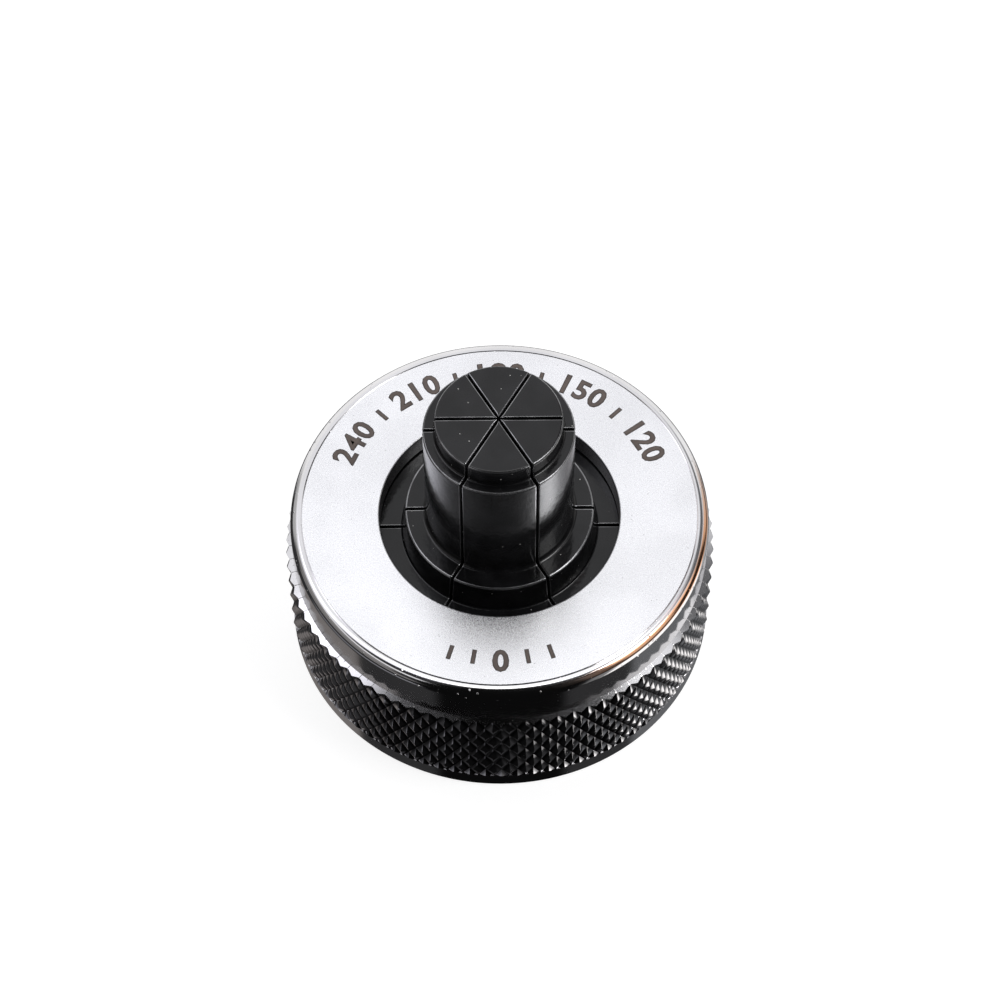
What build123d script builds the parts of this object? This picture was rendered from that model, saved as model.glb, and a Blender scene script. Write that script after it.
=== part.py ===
from build123d import *
import math
import os

# Interchangeable expander head for 19 mm (3/4 inch) copper tube.
# A steel union cap holds six jaws. The tool screws into the back of the cap and drives its
# cone up the middle of the jaws, which part and swage the tube that sits on their nose.
# Millimetres, +Z towards the nose, origin at the middle of the cap's rear rim.

# Swage: nose when closed, and when the cone is fully home
nose_diameter = 16.8
swaged_diameter = 19.15
jaw_travel = (swaged_diameter - nose_diameter) / 2

# Union cap, outside: a knurled grip between a plain rim at the back and a band at the front
cap_height = 19.8
grip_diameter = 49.4
grip_bottom = 2.35
grip_top = 14.25
grip_shoulder_rise = 0.25
band_diameter = 47.8
rim_diameter = 49.0
face_edge_radius = 1.2
face_edge_cut_count = 3
rear_edge = 0.3
hole_diameter = 27.4
hole_edge = 0.15

# Union cap, inside
face_thickness = 2.6
thread_major_diameter = 40.0
thread_pitch = 1.5
thread_depth_share = 1.0825
thread_minor = thread_major_diameter - thread_depth_share * thread_pitch
thread_mouth_edge = 1.0

# Circlip in the cap's bore
circlip_thickness = 1.5
circlip_width = 3.3
circlip_bore_offset = 0.45
circlip_gap_angle = 26.0
circlip_lug_radius = 2.5
circlip_eye_diameter = 2.5
circlip_azimuth = 90.0
groove_depth = 1.05
groove_side_play = 0.05
groove_floor_play = 0.05

# Thrust washer behind the jaws
washer_thickness = 1.0
washer_hole_diameter = 24.0
washer_rim_play = 0.2
washer_face_play = 0.1

# Jaws: one turned body, cut into equal segments
jaw_count = 6
front_azimuth = -90.0
split_gap = 0.3
flange_rim_play = 0.3
flange_diameter = thread_minor - 2 * (jaw_travel + flange_rim_play)
flange_thickness = 5.15
flange_face_play = 0.25
flange_edge = 0.3
shoulder_foot_diameter = 22.4
shoulder_diameter = 21.45
shoulder_rise = 0.9
shoulder_edge = 0.15
nose_length = 15.9
nose_root_edge = 0.3
nose_edge = 0.2
pilot_diameter = 14.2
pilot_length = 2.2
pilot_edge = 0.3
pilot_root_edge = 0.2

# Socket for the tool's cone
socket_mouth_diameter = 15.0
socket_half_angle = 10.0
socket_mouth_edge = 0.4
roof_thickness = 5.0

# Guide pins across the splits
pin_diameter = 2.0
pin_length = 7.0
pin_circle_diameter = 24.8
pin_end_play = 0.3
pin_slide_play = 0.04

# Return spring round the jaws' rim
spring_coil_diameter = 2.0
spring_seat_play = 0.05
spring_side_play = 0.15
spring_groove_depth = 2.3
spring_side_count = 8
spring_form_turn = 180.0 / spring_side_count

# Levels above the rear rim
face_underside = cap_height - face_thickness
flange_top = face_underside - flange_face_play
flange_bottom = flange_top - flange_thickness
washer_bottom = flange_bottom - washer_face_play - washer_thickness
groove_top = washer_bottom - washer_face_play + groove_side_play
groove_bottom = groove_top - circlip_thickness - 2 * groove_side_play
circlip_bottom = groove_bottom + groove_side_play
shoulder_top = cap_height + shoulder_rise
nose_top = shoulder_top + nose_length
head_top = nose_top + pilot_length
socket_roof = head_top - roof_thickness
rim_middle = (flange_top + flange_bottom) / 2

# Two edges closer than this are the same edge
same_place = 0.01

half_step = 180.0 / jaw_count
jaw_step = 2 * half_step


def rims(solid, diameter, level):
    """The round edges of a solid that have one diameter and lie at one level."""
    found = ShapeList()
    for edge in solid.edges().filter_by(GeomType.CIRCLE):
        same_size = abs(edge.radius - diameter / 2) < same_place
        same_level = abs(edge.arc_center.Z - level) < same_place
        if same_size and same_level:
            found.append(edge)
    return found


def rounded_corner(reach, top, radius, cuts):
    """Points of a turned corner, rounded in a few straight cuts, from its side up to its top."""
    points = []
    for cut in range(cuts + 1):
        angle = math.radians(90 * cut / cuts)
        across = reach - radius + radius * math.cos(angle)
        up = top - radius + radius * math.sin(angle)
        points.append((across, up))
    return points


def split_plane(azimuth):
    """The plane between two jaws, seen from the jaw before it, with the guide pin at its origin."""
    angle = math.radians(azimuth)
    outwards = Vector(math.cos(angle), math.sin(angle), 0)
    onwards = Vector(-math.sin(angle), math.cos(angle), 0)
    pin_centre = outwards * (pin_circle_diameter / 2) + Vector(0, 0, rim_middle)
    return Plane(origin=pin_centre, x_dir=outwards, z_dir=onwards)


def write(builder, name):
    """Labels a finished piece and writes it to its own file."""
    builder.part.label = name
    export_step(builder.part, f"parts/{name}.step")


os.makedirs("parts", exist_ok=True)

# Union cap: a turned steel cup with a hole in its face for the jaws
with BuildPart() as knurled_cap:
    with BuildSketch(Plane.XZ):
        with BuildLine():
            Polyline(
                (0, 0),
                (rim_diameter / 2, 0),
                (rim_diameter / 2, grip_bottom - (grip_diameter - rim_diameter) / 2),
                (grip_diameter / 2, grip_bottom),
                (grip_diameter / 2, grip_top),
                (band_diameter / 2, grip_top + grip_shoulder_rise),
                *rounded_corner(band_diameter / 2, cap_height, face_edge_radius, face_edge_cut_count),
                (0, cap_height),
                close=True,
            )
        make_face()
    revolve(axis=Axis.Z)
    chamfer(rims(knurled_cap.part, rim_diameter, 0), length=rear_edge)
    # bore for the thread, up to the underside of the face
    with BuildSketch():
        Circle(thread_minor / 2)
    extrude(amount=face_underside, mode=Mode.SUBTRACT)
    chamfer(rims(knurled_cap.part, thread_minor, 0), length=thread_mouth_edge)
    # circlip groove
    with BuildSketch(Plane.XY.offset(groove_bottom)):
        Circle(thread_minor / 2 + groove_depth)
    extrude(amount=groove_top - groove_bottom, mode=Mode.SUBTRACT)
    # hole in the face
    with BuildSketch(Plane.XY.offset(face_underside)):
        Circle(hole_diameter / 2)
    extrude(amount=face_thickness, mode=Mode.SUBTRACT)
    chamfer(rims(knurled_cap.part, hole_diameter, cap_height), length=hole_edge)
write(knurled_cap, "knurled_cap")

# Circlip: a sprung ring, thickest opposite its gap, with an eye in each end
circlip_radius = thread_minor / 2 + groove_depth - groove_floor_play
circlip_inner_radius = circlip_radius - circlip_width
lug_circle_radius = circlip_radius - circlip_lug_radius - groove_depth
lug_half_angle = circlip_gap_angle / 2 + math.degrees(circlip_lug_radius / lug_circle_radius)
gap_reach = circlip_radius / math.cos(math.radians(circlip_gap_angle / 2))
with BuildPart() as circlip:
    with BuildSketch(Plane.XY.offset(circlip_bottom)):
        Circle(circlip_radius)
        with Locations((circlip_bore_offset, 0)):
            Circle(circlip_inner_radius, mode=Mode.SUBTRACT)
        with PolarLocations(lug_circle_radius, 2, -lug_half_angle, 2 * lug_half_angle, endpoint=True):
            Circle(circlip_lug_radius)
        # the gap between the ends
        with BuildLine():
            Polyline(
                (0, 0),
                PolarLine((0, 0), gap_reach, -circlip_gap_angle / 2, mode=Mode.PRIVATE) @ 1,
                PolarLine((0, 0), gap_reach, circlip_gap_angle / 2, mode=Mode.PRIVATE) @ 1,
                close=True,
            )
        make_face(mode=Mode.SUBTRACT)
        with PolarLocations(lug_circle_radius, 2, -lug_half_angle, 2 * lug_half_angle, endpoint=True):
            Circle(circlip_eye_diameter / 2, mode=Mode.SUBTRACT)
    extrude(amount=circlip_thickness)
with BuildPart() as circlip_placed:
    add(circlip.part, rotation=(0, 0, circlip_azimuth))
write(circlip_placed, "circlip")

# Thrust washer
washer_diameter = thread_minor - 2 * washer_rim_play
with BuildPart() as thrust_washer:
    with BuildSketch(Plane.XY.offset(washer_bottom)):
        Circle(washer_diameter / 2)
        Circle(washer_hole_diameter / 2, mode=Mode.SUBTRACT)
    extrude(amount=washer_thickness)
write(thrust_washer, "thrust_washer")

# Return spring: a garter spring that lies in the rim groove, drawn as its outer form
spring_ring_radius = flange_diameter / 2 - spring_groove_depth + spring_seat_play + spring_coil_diameter / 2
with BuildPart() as return_spring:
    with BuildSketch(Plane.XZ):
        with Locations((spring_ring_radius, rim_middle)):
            RegularPolygon(
                spring_coil_diameter / 2,
                spring_side_count,
                major_radius=False,
                rotation=spring_form_turn,
            )
    revolve(axis=Axis.Z)
write(return_spring, "return_spring")

# Jaws: the whole body is turned first, with the socket for the cone bored into its back
socket_roof_radius = socket_mouth_diameter / 2 - (socket_roof - flange_bottom) * math.tan(
    math.radians(socket_half_angle)
)
spring_groove_half = spring_coil_diameter / 2 + spring_side_play
spring_groove_radius = flange_diameter / 2 - spring_groove_depth
with BuildPart() as jaw_blank:
    with BuildSketch(Plane.XZ):
        with BuildLine():
            Polyline(
                (socket_mouth_diameter / 2, flange_bottom),
                (flange_diameter / 2, flange_bottom),
                (flange_diameter / 2, rim_middle - spring_groove_half),
                (spring_groove_radius, rim_middle - spring_groove_half),
                (spring_groove_radius, rim_middle + spring_groove_half),
                (flange_diameter / 2, rim_middle + spring_groove_half),
                (flange_diameter / 2, flange_top),
                (shoulder_foot_diameter / 2, flange_top),
                (shoulder_diameter / 2, shoulder_top),
                (nose_diameter / 2, shoulder_top),
                (nose_diameter / 2, nose_top),
                (pilot_diameter / 2, nose_top),
                (pilot_diameter / 2, head_top),
                (0, head_top),
                (0, socket_roof),
                (socket_roof_radius, socket_roof),
                close=True,
            )
        make_face()
    revolve(axis=Axis.Z)
    chamfer(rims(jaw_blank.part, nose_diameter, shoulder_top), length=nose_root_edge)
    chamfer(rims(jaw_blank.part, pilot_diameter, nose_top), length=pilot_root_edge)
    chamfer(rims(jaw_blank.part, nose_diameter, nose_top), length=nose_edge)
    chamfer(rims(jaw_blank.part, pilot_diameter, head_top), length=pilot_edge)
    chamfer(rims(jaw_blank.part, shoulder_diameter, shoulder_top), length=shoulder_edge)
    chamfer(rims(jaw_blank.part, flange_diameter, flange_top), length=flange_edge)
    chamfer(rims(jaw_blank.part, flange_diameter, flange_bottom), length=flange_edge)
    chamfer(rims(jaw_blank.part, socket_mouth_diameter, flange_bottom), length=socket_mouth_edge)

# One segment, along +X, with the pin pressed into its far side and a sliding hole in its near side
tip_reach = split_gap / 2 / math.sin(math.radians(half_step))
pin_hole_depth = pin_length / 2 + pin_end_play
with BuildPart() as jaw_segment:
    add(jaw_blank.part)
    with BuildSketch():
        with BuildLine():
            tip = (tip_reach, 0)
            Polyline(
                tip,
                PolarLine(tip, flange_diameter, -half_step, mode=Mode.PRIVATE) @ 1,
                PolarLine(tip, flange_diameter, half_step, mode=Mode.PRIVATE) @ 1,
                close=True,
            )
        make_face()
    extrude(amount=head_top, mode=Mode.INTERSECT)
    with BuildSketch(split_plane(half_step)):
        Circle(pin_diameter / 2)
    extrude(amount=-pin_hole_depth, mode=Mode.SUBTRACT)
    with BuildSketch(split_plane(-half_step)):
        Circle(pin_diameter / 2 + pin_slide_play)
    extrude(amount=pin_hole_depth, mode=Mode.SUBTRACT)

# Guide pin, half of its length in each of two neighbours
with BuildPart() as guide_pin:
    with BuildSketch(split_plane(half_step)):
        Circle(pin_diameter / 2)
    extrude(amount=pin_length / 2, both=True)

for number in range(1, jaw_count + 1):
    azimuth = front_azimuth + (number - 1) * jaw_step
    with BuildPart() as jaw:
        add(jaw_segment.part, rotation=(0, 0, azimuth))
    write(jaw, f"jaw_{number}")
    with BuildPart() as pin:
        add(guide_pin.part, rotation=(0, 0, azimuth))
    write(pin, f"guide_pin_{number}")
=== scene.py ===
"""Looks of an interchangeable expander head for 19 mm copper tube.

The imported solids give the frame, and each class here builds one sub-assembly over them: the knurled
union cap, the six jaws, the return spring and the marks on the cap's face. Sizes are in millimetres
in the classes and become metres when a mesh is made.
"""

from __future__ import annotations

import logging
import math
import random
from collections.abc import Callable, Sequence
from dataclasses import dataclass, field
from enum import Enum

import bmesh
import bpy
from mathutils import Matrix, Vector

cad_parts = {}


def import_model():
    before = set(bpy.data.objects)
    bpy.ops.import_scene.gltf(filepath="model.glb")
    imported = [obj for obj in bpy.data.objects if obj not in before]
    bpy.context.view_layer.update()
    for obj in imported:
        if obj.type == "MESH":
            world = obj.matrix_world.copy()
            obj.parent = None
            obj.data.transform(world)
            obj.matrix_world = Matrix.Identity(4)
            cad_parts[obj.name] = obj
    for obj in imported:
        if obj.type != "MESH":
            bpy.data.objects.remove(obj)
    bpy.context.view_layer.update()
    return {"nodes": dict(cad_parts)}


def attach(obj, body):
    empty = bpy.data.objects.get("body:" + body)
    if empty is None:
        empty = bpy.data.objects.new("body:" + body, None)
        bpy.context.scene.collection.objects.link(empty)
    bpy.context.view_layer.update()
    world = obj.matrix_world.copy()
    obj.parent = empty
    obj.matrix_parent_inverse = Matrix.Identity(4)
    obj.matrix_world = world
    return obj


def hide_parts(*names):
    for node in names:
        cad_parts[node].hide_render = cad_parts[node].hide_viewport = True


LOG = logging.getLogger("expander_head")
MM = 0.001
FULL_TURN = 2.0 * math.pi
Ring = list[Vector]


class Zone(Enum):
    """The surfaces of the union cap that have a finish of their own."""

    FACE = 0
    SIDE = 1
    KNURL = 2
    BORE = 3


@dataclass(frozen=True)
class Corner:
    """One corner of a turned outline: its distance from the axis, its level and its rounding."""

    reach: float
    level: float
    rounding: float = 0.0

    @property
    def point(self) -> Vector:
        """The corner as a flat point."""
        return Vector((self.reach, self.level))


@dataclass(frozen=True)
class Outline:
    """A turned outline made of corners, walked from the first to the last.

    Attributes:
        corners: the corners in order.
        closed: whether the last corner joins the first.
        arc_step: the most that one piece of a rounding turns, in degrees.
        support: how far from each corner an extra point holds the shading, in millimetres.
    """

    corners: tuple[Corner, ...]
    closed: bool = False
    arc_step: float = 15.0
    support: float = 0.06

    def rounding_at(self, index: int) -> list[Vector]:
        """The points that stand for one corner.

        Args:
            index: which corner.

        Returns:
            One point for a sharp corner, or the points of its arc.
        """
        corner = self.corners[index]
        here = corner.point
        if corner.rounding <= 0.0:
            return [here]
        before = self.corners[index - 1].point
        after = self.corners[(index + 1) % len(self.corners)].point
        arriving = (here - before).normalized()
        leaving = (after - here).normalized()
        turn = arriving.angle(leaving)
        side = 1.0 if arriving.cross(leaving) > 0.0 else -1.0
        start = here - arriving * corner.rounding * math.tan(turn / 2.0)
        centre = start + Vector((-arriving.y, arriving.x)) * side * corner.rounding
        steps = max(2, math.ceil(math.degrees(turn) / self.arc_step))
        arc = []
        for step in range(steps + 1):
            spoke = start - centre
            spoke.rotate(Matrix.Rotation(side * turn * step / steps, 2))
            arc.append(centre + spoke)
        return arc

    def points(self) -> list[Vector]:
        """The whole outline as flat points, with supports beside its corners.

        Returns:
            The points in order.
        """
        rough: list[Vector] = []
        for index in range(len(self.corners)):
            rough.extend(self.rounding_at(index))
        fine: list[Vector] = []
        last = len(rough) if self.closed else len(rough) - 1
        for index in range(last):
            here, after = rough[index], rough[(index + 1) % len(rough)]
            fine.append(here)
            length = (after - here).length
            if length > 6.0 * self.support:
                way = (after - here) / length
                fine.append(here + way * self.support)
                fine.append(after - way * self.support)
        if not self.closed:
            fine.append(rough[-1])
        return fine


def ring(reach: float, level: float, columns: int) -> Ring:
    """A level circle of points round the axis.

    Args:
        reach: its radius in millimetres.
        level: its height in millimetres.
        columns: how many points.

    Returns:
        The points, in millimetres.
    """
    turns = (FULL_TURN * column / columns for column in range(columns))
    return [Vector((reach * math.cos(turn), reach * math.sin(turn), level)) for turn in turns]


def rotated(point: Vector, azimuth: float) -> Vector:
    """A point turned about the head's axis.

    Args:
        point: where it starts.
        azimuth: the turn in degrees.

    Returns:
        Where it ends.
    """
    turn = math.radians(azimuth)
    cosine, sine = math.cos(turn), math.sin(turn)
    return Vector((point.x * cosine - point.y * sine, point.x * sine + point.y * cosine, point.z))


def make_object(name: str, work: bmesh.types.BMesh, materials: Sequence[bpy.types.Material], crease: float) -> bpy.types.Object:
    """Turns finished mesh work into an object at the origin, in metres.

    Args:
        name: the object's name.
        work: the mesh work, in millimetres; it is freed.
        materials: the object's materials in the order of their indices.
        crease: edges that turn by more degrees than this stay sharp.

    Returns:
        The new object.
    """
    bmesh.ops.remove_doubles(work, verts=work.verts, dist=2e-4)
    bmesh.ops.dissolve_degenerate(work, edges=work.edges, dist=1e-5)
    bmesh.ops.recalc_face_normals(work, faces=work.faces)
    bmesh.ops.scale(work, vec=Vector((MM, MM, MM)), verts=work.verts)
    mesh = bpy.data.meshes.new(name)
    work.to_mesh(mesh)
    work.free()
    for material in materials:
        mesh.materials.append(material)
    mesh.set_sharp_from_angle(angle=math.radians(crease))
    piece = bpy.data.objects.new(name, mesh)
    bpy.context.scene.collection.objects.link(piece)
    return piece


class NodeWork:
    """A material under construction, with short calls for what the finishes share."""

    def __init__(self, name: str) -> None:
        """Starts a material with one principled shader.

        Args:
            name: the material's name.
        """
        self.material = bpy.data.materials.new(name)
        self.material.use_nodes = True
        self.tree = self.material.node_tree
        self.tree.nodes.clear()
        self.shader = self.tree.nodes.new("ShaderNodeBsdfPrincipled")
        output = self.tree.nodes.new("ShaderNodeOutputMaterial")
        self.tree.links.new(self.shader.outputs["BSDF"], output.inputs["Surface"])
        self.place = self.scaled_place()

    def scaled_place(self) -> bpy.types.NodeSocket:
        """The place on the object in millimetres.

        Returns:
            A vector socket.
        """
        coordinate = self.tree.nodes.new("ShaderNodeTexCoord")
        scale = self.tree.nodes.new("ShaderNodeVectorMath")
        scale.operation = "SCALE"
        scale.inputs["Scale"].default_value = 1.0 / MM
        self.tree.links.new(coordinate.outputs["Object"], scale.inputs[0])
        return scale.outputs[0]

    def math(self, operation: str, first: object, second: object = 0.0, clamp: bool = False) -> bpy.types.NodeSocket:
        """One arithmetic node.

        Args:
            operation: Blender's name of the operation.
            first: a socket or a number.
            second: a socket or a number.
            clamp: whether the result is held between 0 and 1.

        Returns:
            The result's socket.
        """
        node = self.tree.nodes.new("ShaderNodeMath")
        node.operation = operation
        node.use_clamp = clamp
        for socket, value in zip(node.inputs, (first, second)):
            if isinstance(value, bpy.types.NodeSocket):
                self.tree.links.new(value, socket)
            else:
                socket.default_value = value
        return node.outputs[0]

    def between(self, value: bpy.types.NodeSocket, low: float, high: float, start: float = 0.0, end: float = 1.0) -> bpy.types.NodeSocket:
        """A smooth change of one number as another passes from low to high.

        Args:
            value: the number that decides.
            low: where the change starts.
            high: where it ends.
            start: the result below low.
            end: the result above high.

        Returns:
            The result's socket.
        """
        node = self.tree.nodes.new("ShaderNodeMapRange")
        node.interpolation_type = "SMOOTHSTEP"
        self.tree.links.new(value, node.inputs["Value"])
        node.inputs["From Min"].default_value = low
        node.inputs["From Max"].default_value = high
        node.inputs["To Min"].default_value = start
        node.inputs["To Max"].default_value = end
        return node.outputs["Result"]

    def split(self) -> tuple[bpy.types.NodeSocket, bpy.types.NodeSocket, bpy.types.NodeSocket]:
        """The three coordinates of the place, in millimetres."""
        node = self.tree.nodes.new("ShaderNodeSeparateXYZ")
        self.tree.links.new(self.place, node.inputs[0])
        return node.outputs[0], node.outputs[1], node.outputs[2]

    def distance_from_axis(self) -> bpy.types.NodeSocket:
        """The distance from the head's axis, in millimetres."""
        across, along, _ = self.split()
        squares = self.math("ADD", self.math("MULTIPLY", across, across), self.math("MULTIPLY", along, along))
        return self.math("SQRT", squares)

    def vector(self, first: object, second: object = 0.0, third: object = 0.0) -> bpy.types.NodeSocket:
        """A vector from three sockets or numbers.

        Args:
            first: the first coordinate.
            second: the second coordinate.
            third: the third coordinate.

        Returns:
            The vector's socket.
        """
        node = self.tree.nodes.new("ShaderNodeCombineXYZ")
        for socket, value in zip(node.inputs, (first, second, third)):
            if isinstance(value, bpy.types.NodeSocket):
                self.tree.links.new(value, socket)
            else:
                socket.default_value = value
        return node.outputs[0]

    def noise(self, where: bpy.types.NodeSocket, per_mm: float, detail: float = 2.0, rough: float = 0.5) -> bpy.types.NodeSocket:
        """Soft noise from 0 to 1.

        Args:
            where: the vector that it is read at.
            per_mm: how many features there are to a millimetre.
            detail: how many finer layers are added.
            rough: how strong the finer layers are.

        Returns:
            The noise's socket.
        """
        node = self.tree.nodes.new("ShaderNodeTexNoise")
        node.inputs["Scale"].default_value = per_mm
        node.inputs["Detail"].default_value = detail
        node.inputs["Roughness"].default_value = rough
        self.tree.links.new(where, node.inputs["Vector"])
        return node.outputs["Fac"]

    def dots(self, per_mm: float, size: float, share: float) -> bpy.types.NodeSocket:
        """Scattered round dots, such as specks of dust.

        Args:
            per_mm: cells to a millimetre.
            size: radius of a dot as a share of its cell.
            share: the share of cells that hold a dot.

        Returns:
            1 on a dot and 0 elsewhere, with a soft edge.
        """
        node = self.tree.nodes.new("ShaderNodeTexVoronoi")
        node.inputs["Scale"].default_value = per_mm
        self.tree.links.new(self.place, node.inputs["Vector"])
        near = self.between(node.outputs["Distance"], size * 0.6, size, 1.0, 0.0)
        pick = self.tree.nodes.new("ShaderNodeSeparateXYZ")
        self.tree.links.new(node.outputs["Color"], pick.inputs[0])
        chosen = self.math("LESS_THAN", pick.outputs[0], share)
        return self.math("MULTIPLY", near, chosen)

    def blend(self, share: bpy.types.NodeSocket, first: object, second: object) -> bpy.types.NodeSocket:
        """A colour between two others.

        Args:
            share: 0 for the first and 1 for the second.
            first: a colour or a colour socket.
            second: a colour or a colour socket.

        Returns:
            The mixed colour's socket.
        """
        node = self.tree.nodes.new("ShaderNodeMix")
        node.data_type = "RGBA"
        self.tree.links.new(share, node.inputs["Factor"])
        for name, value in (("A", first), ("B", second)):
            socket = next(s for s in node.inputs if s.name == name and s.type == "RGBA")
            if isinstance(value, bpy.types.NodeSocket):
                self.tree.links.new(value, socket)
            else:
                socket.default_value = (*value, 1.0)
        return next(s for s in node.outputs if s.type == "RGBA")

    def bump(self, height: bpy.types.NodeSocket, strength: float, depth: float, under: bpy.types.NodeSocket | None = None) -> bpy.types.NodeSocket:
        """A bumped normal.

        Args:
            height: the height pattern.
            strength: from 0 to 1.
            depth: how deep the pattern is, in millimetres.
            under: a normal that is bumped further, or None.

        Returns:
            The normal's socket.
        """
        node = self.tree.nodes.new("ShaderNodeBump")
        node.inputs["Strength"].default_value = strength
        node.inputs["Distance"].default_value = depth * MM
        self.tree.links.new(height, node.inputs["Height"])
        if under is not None:
            self.tree.links.new(under, node.inputs["Normal"])
        return node.outputs["Normal"]

    def feed(self, name: str, value: bpy.types.NodeSocket) -> None:
        """Joins a socket to the shader's input of that name."""
        self.tree.links.new(value, self.shader.inputs[name])

    def fixed(self, **values: float) -> None:
        """Sets numbers on the shader's own sockets, with spaces written as underscores."""
        for name, value in values.items():
            self.shader.inputs[name.replace("_", " ")].default_value = value


@dataclass(frozen=True)
class PlatedSteel:
    """Bright plated steel that was turned, faced or knurled before plating.

    Attributes:
        name: the material's name.
        zone: which surface of the cap it is for.
        colour: its colour.
        roughness: how satin it is.
        marks: how strong the tool marks are.
        metallic: 1 for a mirror under its satin, less where the satin scatters.
    """

    name: str
    zone: Zone
    colour: tuple[float, float, float]
    roughness: float
    marks: float
    metallic: float = 1.0

    def bare_copper(self, work: NodeWork) -> bpy.types.NodeSocket:
        """Where a copper tint is painted along one side of the face's edge, as a painted reflection of a
        copper-coloured glint.
        """
        across, along, level = work.split()
        side = work.math("MULTIPLY", work.between(across, 3.0, 15.0), work.between(along, 9.0, -3.0))
        edge = work.math("MULTIPLY", work.between(level, 19.2, 19.35), work.between(level, 19.74, 19.64))
        return work.math("MULTIPLY", side, edge)

    def make(self) -> bpy.types.Material:
        """Builds the material.

        Returns:
            The material.
        """
        work = NodeWork(self.name)
        work.fixed(Metallic=self.metallic)
        reach = work.distance_from_axis()
        _, _, level = work.split()
        if self.zone is Zone.FACE:
            lay = work.vector(work.math("MULTIPLY", reach, 1.0))
        else:
            lay = work.vector(level, 0.0, work.math("MULTIPLY", reach, 0.5))
        lines = work.noise(lay, 9.0, 3.0, 0.6)
        grain = work.noise(work.place, 7.0, 2.0, 0.6)
        cloud = work.noise(work.place, 0.12, 2.0, 0.5)
        specks = work.dots(1.6, 0.12, 0.16)
        tone = work.between(cloud, 0.35, 0.65)
        dull = tuple(part * 0.93 for part in self.colour)
        colour = work.blend(tone, dull, self.colour)
        colour = work.blend(work.math("MULTIPLY", specks, 0.45), colour, (0.10, 0.09, 0.09))
        if self.zone is Zone.SIDE:
            # painted reflection: a copper tint on one side of the face's edge stands in for a copper-coloured glint
            colour = work.blend(self.bare_copper(work), colour, (0.93, 0.50, 0.30))
        if self.zone is Zone.KNURL:
            # painted shade: the knurl's grooves are blended to near black towards their roots
            colour = work.blend(work.between(reach, 24.36, 24.56, 0.8, 0.0), colour, (0.03, 0.03, 0.032))
        work.feed("Base Color", colour)
        satin = work.between(grain, 0.3, 0.7, self.roughness * 0.85, self.roughness * 1.15)
        satin = work.math("ADD", satin, work.math("MULTIPLY", specks, 0.2))
        work.feed("Roughness", satin)
        normal = work.bump(lines, self.marks, 0.004)
        normal = work.bump(grain, self.marks, 0.003, normal)
        if self.zone is Zone.SIDE:
            nicks = work.dots(2.3, 0.3, 0.12)
            at_edge = work.math("MULTIPLY", work.between(level, 18.6, 18.9), work.between(level, 19.74, 19.6))
            normal = work.bump(work.math("MULTIPLY", nicks, at_edge), 1.0, 0.12, normal)
        work.feed("Normal", normal)
        return work.material


@dataclass(frozen=True)
class BlackOxide:
    """Oiled black oxide on steel, with grain and specks of dust.

    Attributes:
        name: the material's name.
        colour: its colour.
        roughness: how satin it is.
        refraction: its index of refraction, which sets how bright its reflections are.
    """

    name: str = "black_oxide"
    colour: tuple[float, float, float] = (0.006, 0.006, 0.0065)
    roughness: float = 0.13
    refraction: float = 1.46
    metallic: float = 0.0

    def make(self) -> bpy.types.Material:
        """Builds the material.

        Returns:
            The material.
        """
        work = NodeWork(self.name)
        work.fixed(IOR=self.refraction, Metallic=self.metallic)
        grain = work.noise(work.place, 5.0, 4.0, 0.65)
        cloud = work.noise(work.place, 0.35, 2.0, 0.5)
        dust = work.dots(0.9, 0.085, 0.34)
        lighter = tuple(part * 2.1 for part in self.colour)
        colour = work.blend(work.between(cloud, 0.3, 0.7), self.colour, lighter)
        colour = work.blend(work.math("MULTIPLY", dust, 0.8), colour, (0.55, 0.54, 0.52))
        work.feed("Base Color", colour)
        work.feed("Roughness", work.between(grain, 0.3, 0.7, self.roughness * 0.8, self.roughness * 1.25))
        peel = work.noise(work.place, 1.3, 2.0, 0.5)
        normal = work.bump(peel, 0.5, 0.045, work.bump(grain, 0.3, 0.010))
        work.feed("Normal", work.bump(dust, 0.5, 0.03, normal))
        return work.material


@dataclass(frozen=True)
class PlainMetal:
    """A plain metal with a little grain, for the pieces inside.

    Attributes:
        name: the material's name.
        colour: its colour.
        roughness: how satin it is.
        metallic: 1 for bare metal.
        grain: features of its grain to a millimetre.
    """

    name: str
    colour: tuple[float, float, float]
    roughness: float
    metallic: float = 1.0
    grain: float = 6.0

    def make(self) -> bpy.types.Material:
        """Builds the material.

        Returns:
            The material.
        """
        work = NodeWork(self.name)
        work.fixed(Metallic=self.metallic)
        grain = work.noise(work.place, self.grain, 3.0, 0.6)
        cloud = work.noise(work.place, 0.5, 2.0, 0.5)
        dull = tuple(part * 0.78 for part in self.colour)
        work.feed("Base Color", work.blend(work.between(cloud, 0.3, 0.7), dull, self.colour))
        work.feed("Roughness", work.between(grain, 0.3, 0.7, self.roughness * 0.8, self.roughness * 1.2))
        work.feed("Normal", work.bump(grain, 0.3, 0.008))
        return work.material


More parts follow.
